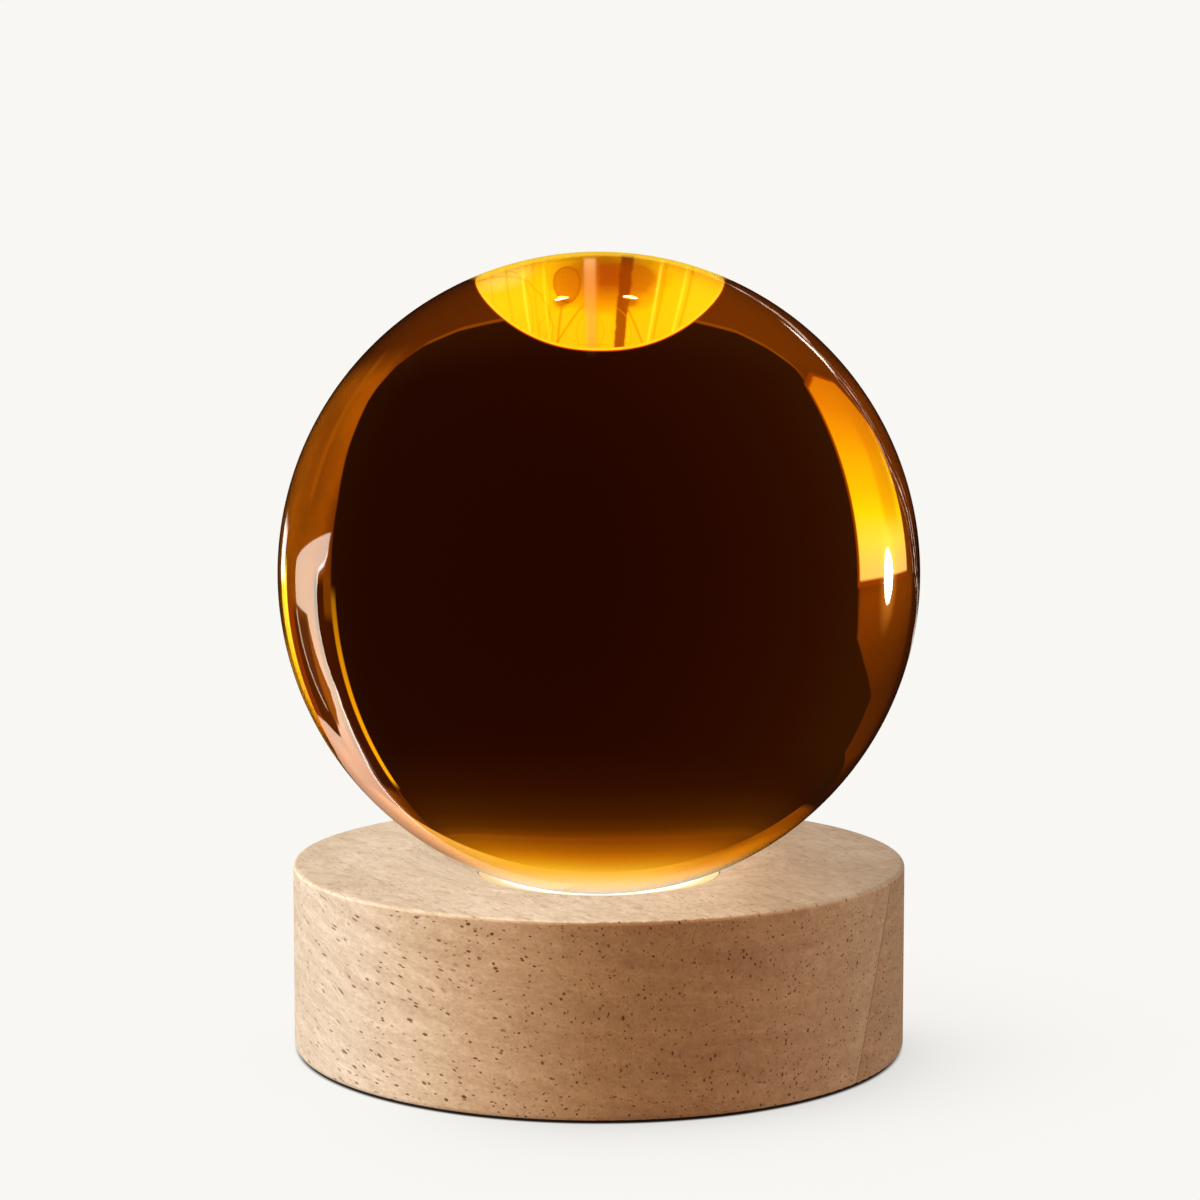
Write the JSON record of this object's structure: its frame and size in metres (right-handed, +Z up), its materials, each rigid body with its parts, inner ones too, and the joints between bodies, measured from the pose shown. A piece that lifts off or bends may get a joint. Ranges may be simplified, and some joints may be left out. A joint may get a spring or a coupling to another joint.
{
  "type": "crystal ball lamp",
  "caption": "Amber glass ball standing in the lit, dished top of a low round wooden base, with a power inlet and a push button at the rear.",
  "frame": {"origin": "centre of the foam pad's underside, on the surface the lamp stands on", "axes": "+Z up through the middle of the ball; -Y is the front that the picture shows; +Y is the rear, with the power inlet and the push button"},
  "size_m": [0.06, 0.06, 0.0745],
  "materials": {
    "amber_glass": "polished amber glass",
    "pale_wood": "fine sanded, bare",
    "frosted_window": "frosted moulding, warm light under it",
    "board_white": "white solder mask",
    "board_green": "green solder mask",
    "led_white": "moulded white",
    "led_phosphor": "warm yellow resin",
    "resistor_black": "dark ceramic body",
    "screw_steel": "zinc plated",
    "plate_black": "fine textured",
    "socket_steel": "nickel plated, drawn",
    "tongue_black": "moulded",
    "contact_gold": "gold plated",
    "button_grey": "satin",
    "switch_black": "moulded",
    "plunger_red": "moulded",
    "spring_steel": "drawn wire",
    "chip_black": "moulded",
    "leg_tin": "tin plated",
    "passive_brown": "ceramic",
    "lead_red": "soft insulation",
    "lead_black": "soft insulation",
    "solder": "bright",
    "cover_black": "fine textured",
    "pad_foam": "dense foam"
  },
  "bodies": {
    "base": {"wood_base": "pale_wood", "light_window": "frosted_window", "light_board": "board_white", "led_packages": "led_white", "led_phosphors": "led_phosphor", "led_resistors": "resistor_black", "board_screws": "screw_steel", "inlet_plate": "plate_black", "inlet_board": "board_green", "usb_shell": "socket_steel", "usb_tongue": "tongue_black", "usb_contacts": "contact_gold", "switch_body": "switch_black", "button_spring": "spring_steel", "controller_chip": "chip_black", "chip_legs": "leg_tin", "inlet_passives": "passive_brown", "lead_positive": "lead_red", "lead_negative": "lead_black", "solder_joints": "solder", "bottom_cover": "cover_black", "cover_screws": "screw_steel", "foam_pad": "pad_foam"},
    "ball": {"crystal_ball": "amber_glass"},
    "button": {"button_cap": "button_grey", "switch_plunger": "plunger_red"}
  },
  "joints": [
    {"name": "ball_lift", "type": "slide", "parent": "base", "child": "ball", "axis": [0, 0, 1], "range_m": [0, 0.06]},
    {"name": "button_press", "type": "slide", "parent": "base", "child": "button", "axis": [0, -1, 0], "range_m": [0, 0.0008], "stiffness_N_per_m": 900, "springref_m": -0.0012, "deforming": ["button_spring"]}
  ]
}
